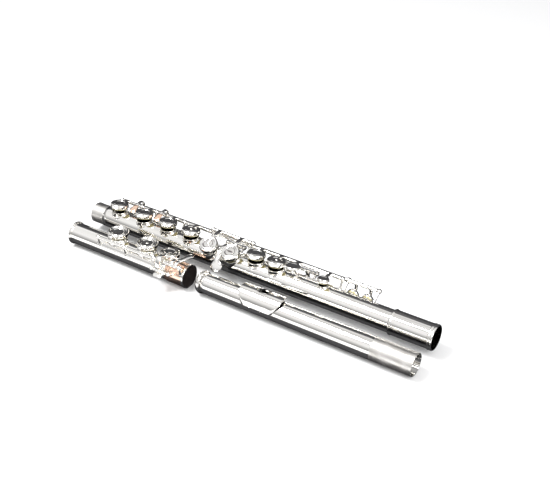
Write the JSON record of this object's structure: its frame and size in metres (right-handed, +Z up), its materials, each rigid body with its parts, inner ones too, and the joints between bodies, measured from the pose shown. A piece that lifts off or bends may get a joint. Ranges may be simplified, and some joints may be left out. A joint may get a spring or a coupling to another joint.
{
  "type": "concert flute in three sections",
  "caption": "Metal flute taken apart for storage: keyed body with barrel, keyed foot joint and head joint with lip plate, tenons and sockets open.",
  "frame": {"origin": "on the surface that the sections lie on, under the middle of the whole object", "axes": "+X along the tubes towards the barrel, +Y from the head joint towards the body section, +Z up"},
  "size_m": [0.354, 0.0764, 0.0374],
  "materials": {
    "silver": "polished silver plate",
    "satin": "satin nickel silver",
    "socket": "polished, warm inside",
    "steel": "drawn steel",
    "pad_skin": "felt under oiled skin",
    "cork": "natural cork"
  },
  "bodies": {
    "head_joint": {"head_tube": "silver", "head_tenon": "satin", "lip_plate": "silver", "embouchure_riser": "silver"},
    "crown": {"crown": "silver"},
    "stopper": {"stopper_rod": "steel", "stopper_cork": "cork", "stopper_plates": "silver"},
    "body_section": {"body_tube": "silver", "foot_tenon": "satin", "barrel": "silver", "main_rib": "silver", "main_posts": "silver", "trill_posts": "silver", "lower_posts": "silver", "key_steels": "steel", "needle_springs": "steel"},
    "foot_joint": {"foot_tube": "silver", "foot_socket": "socket", "foot_end_ring": "silver", "foot_rib": "silver", "foot_posts": "silver", "foot_steel": "steel"},
    "d_key": {"d_key": "silver", "d_pad": "pad_skin"},
    "e_key": {"e_key": "silver", "e_pad": "pad_skin"},
    "f_key": {"f_key": "silver", "f_pad": "pad_skin"},
    "f_sharp_key": {"f_sharp_key": "silver", "f_sharp_pad": "pad_skin"},
    "offset_g_key": {"offset_g_key": "silver", "offset_g_pads": "pad_skin"},
    "a_key": {"a_key": "silver", "a_pad": "pad_skin"},
    "b_flat_key": {"b_flat_key": "silver", "b_flat_pad": "pad_skin"},
    "c_key": {"c_key": "silver", "c_pad": "pad_skin"},
    "bridge_lever": {"bridge_lever": "silver"},
    "d_trill_key": {"d_trill_key": "silver", "d_trill_tube": "silver", "d_trill_pad": "pad_skin"},
    "d_sharp_trill_key": {"d_sharp_trill_key": "silver", "d_sharp_trill_rod": "steel", "d_sharp_trill_pad": "pad_skin"},
    "g_sharp_key": {"g_sharp_key": "silver", "g_sharp_pad": "pad_skin"},
    "thumb_b_key": {"thumb_b_key": "silver", "thumb_b_pad": "pad_skin"},
    "thumb_b_flat_lever": {"thumb_b_flat_lever": "silver"},
    "foot_c_key": {"foot_c_key": "silver", "foot_c_rod": "steel", "foot_c_pad": "pad_skin"},
    "foot_c_sharp_key": {"foot_c_sharp_key": "silver", "foot_c_sharp_pad": "pad_skin"},
    "foot_d_sharp_key": {"foot_d_sharp_key": "silver", "foot_d_sharp_pad": "pad_skin"},
    "c_sharp_roller": {"c_sharp_roller": "silver"},
    "d_sharp_roller": {"d_sharp_roller": "silver"}
  },
  "joints": [
    {"name": "body_lift", "type": "slide", "parent": "head_joint", "child": "body_section", "axis": [0, 0, 1], "range_m": [0, 0.15]},
    {"name": "foot_lift", "type": "slide", "parent": "head_joint", "child": "foot_joint", "axis": [0, 0, 1], "range_m": [0, 0.15]},
    {"name": "crown_turn", "type": "hinge", "parent": "head_joint", "child": "crown", "pos_m": [-0.0286, -0.01513, 0.0109], "axis": [1, 0, 0], "range_deg": [-360, 360]},
    {"name": "stopper_slide", "type": "slide", "parent": "head_joint", "child": "stopper", "axis": [1, 0, 0], "range_m": [-0.0008, 0.0008]},
    {"name": "d_turn", "type": "hinge", "parent": "body_section", "child": "d_key", "pos_m": [0, 0.03047, 0.0293], "axis": [1, 0, 0], "range_deg": [0, 10.5], "stiffness_Nm_per_rad": 0.01, "springref_deg": -20.05},
    {"name": "e_turn", "type": "hinge", "parent": "body_section", "child": "e_key", "pos_m": [0, 0.03047, 0.0293], "axis": [1, 0, 0], "range_deg": [0, 10.5], "stiffness_Nm_per_rad": 0.01, "springref_deg": -20.05},
    {"name": "f_turn", "type": "hinge", "parent": "body_section", "child": "f_key", "pos_m": [0, 0.03047, 0.0293], "axis": [1, 0, 0], "range_deg": [0, 10.5], "stiffness_Nm_per_rad": 0.01, "springref_deg": -20.05},
    {"name": "f_sharp_turn", "type": "hinge", "parent": "body_section", "child": "f_sharp_key", "pos_m": [0, 0.03047, 0.0293], "axis": [1, 0, 0], "range_deg": [0, 10.5], "stiffness_Nm_per_rad": 0.01, "springref_deg": -20.05},
    {"name": "offset_g_turn", "type": "hinge", "parent": "body_section", "child": "offset_g_key", "pos_m": [0, 0.03007, 0.0332], "axis": [1, 0, 0], "range_deg": [0, 6.5], "stiffness_Nm_per_rad": 0.01, "springref_deg": -20.05},
    {"name": "a_turn", "type": "hinge", "parent": "body_section", "child": "a_key", "pos_m": [0, 0.03047, 0.0293], "axis": [1, 0, 0], "range_deg": [0, 10.5], "stiffness_Nm_per_rad": 0.01, "springref_deg": -20.05},
    {"name": "b_flat_turn", "type": "hinge", "parent": "body_section", "child": "b_flat_key", "pos_m": [0, 0.03047, 0.0293], "axis": [1, 0, 0], "range_deg": [0, 10.5], "stiffness_Nm_per_rad": 0.01, "springref_deg": -20.05},
    {"name": "c_turn", "type": "hinge", "parent": "body_section", "child": "c_key", "pos_m": [0, 0.03047, 0.0293], "axis": [1, 0, 0], "range_deg": [0, 10.5], "stiffness_Nm_per_rad": 0.01, "springref_deg": -20.05},
    {"name": "bridge_turn", "type": "hinge", "parent": "body_section", "child": "bridge_lever", "pos_m": [0, 0.03047, 0.0293], "axis": [1, 0, 0], "range_deg": [0, 10.5]},
    {"name": "d_trill_turn", "type": "hinge", "parent": "body_section", "child": "d_trill_key", "pos_m": [0, 0.03447, 0.0269], "axis": [1, 0, 0], "range_deg": [0, 9], "stiffness_Nm_per_rad": 0.01, "springref_deg": -20.05},
    {"name": "d_sharp_trill_turn", "type": "hinge", "parent": "body_section", "child": "d_sharp_trill_key", "pos_m": [0, 0.03447, 0.0269], "axis": [1, 0, 0], "range_deg": [0, 9], "stiffness_Nm_per_rad": 0.01, "springref_deg": -20.05},
    {"name": "g_sharp_turn", "type": "hinge", "parent": "body_section", "child": "g_sharp_key", "pos_m": [0, 0.03547, 0.0206], "axis": [1, 0, 0], "range_deg": [0, 7], "stiffness_Nm_per_rad": 0.01, "springref_deg": -20.05},
    {"name": "thumb_b_turn", "type": "hinge", "parent": "body_section", "child": "thumb_b_key", "pos_m": [0, 0.03547, 0.0206], "axis": [1, 0, 0], "range_deg": [-10, 0], "stiffness_Nm_per_rad": 0.01, "springref_deg": 20.05},
    {"name": "thumb_b_flat_turn", "type": "hinge", "parent": "body_section", "child": "thumb_b_flat_lever", "pos_m": [0, 0.03547, 0.0206], "axis": [1, 0, 0], "range_deg": [-10, 0], "stiffness_Nm_per_rad": 0.01, "springref_deg": 20.05},
    {"name": "foot_c_turn", "type": "hinge", "parent": "foot_joint", "child": "foot_c_key", "pos_m": [-0.0915, -0.02542, 0.0251], "axis": [1, 0, 0], "range_deg": [-8, 0], "stiffness_Nm_per_rad": 0.01, "springref_deg": 20.05},
    {"name": "foot_c_sharp_turn", "type": "hinge", "parent": "foot_joint", "child": "foot_c_sharp_key", "pos_m": [-0.0915, -0.02542, 0.0251], "axis": [1, 0, 0], "range_deg": [-8, 0], "stiffness_Nm_per_rad": 0.01, "springref_deg": 20.05},
    {"name": "foot_d_sharp_turn", "type": "hinge", "parent": "foot_joint", "child": "foot_d_sharp_key", "pos_m": [-0.0915, -0.02968, 0.01763], "axis": [1, 0, 0], "range_deg": [0, 8], "stiffness_Nm_per_rad": 0.01, "springref_deg": -20.05},
    {"name": "c_sharp_roller_spin", "type": "hinge", "parent": "foot_c_sharp_key", "child": "c_sharp_roller", "pos_m": [-0.0547, -0.01764, 0.02723], "axis": [1, 0, 0], "continuous": true},
    {"name": "d_sharp_roller_spin", "type": "hinge", "parent": "foot_d_sharp_key", "child": "d_sharp_roller", "pos_m": [-0.0622, -0.03312, 0.02057], "axis": [1, 0, 0], "continuous": true}
  ],
  "couplings": [
    {"joint": "f_sharp_turn", "follows": "f_turn", "ratio": 1},
    {"joint": "bridge_turn", "follows": "f_turn", "ratio": 1},
    {"joint": "b_flat_turn", "follows": "a_turn", "ratio": 1},
    {"joint": "crown_turn", "follows": "stopper_slide", "rad_per_m": 7854}
  ]
}
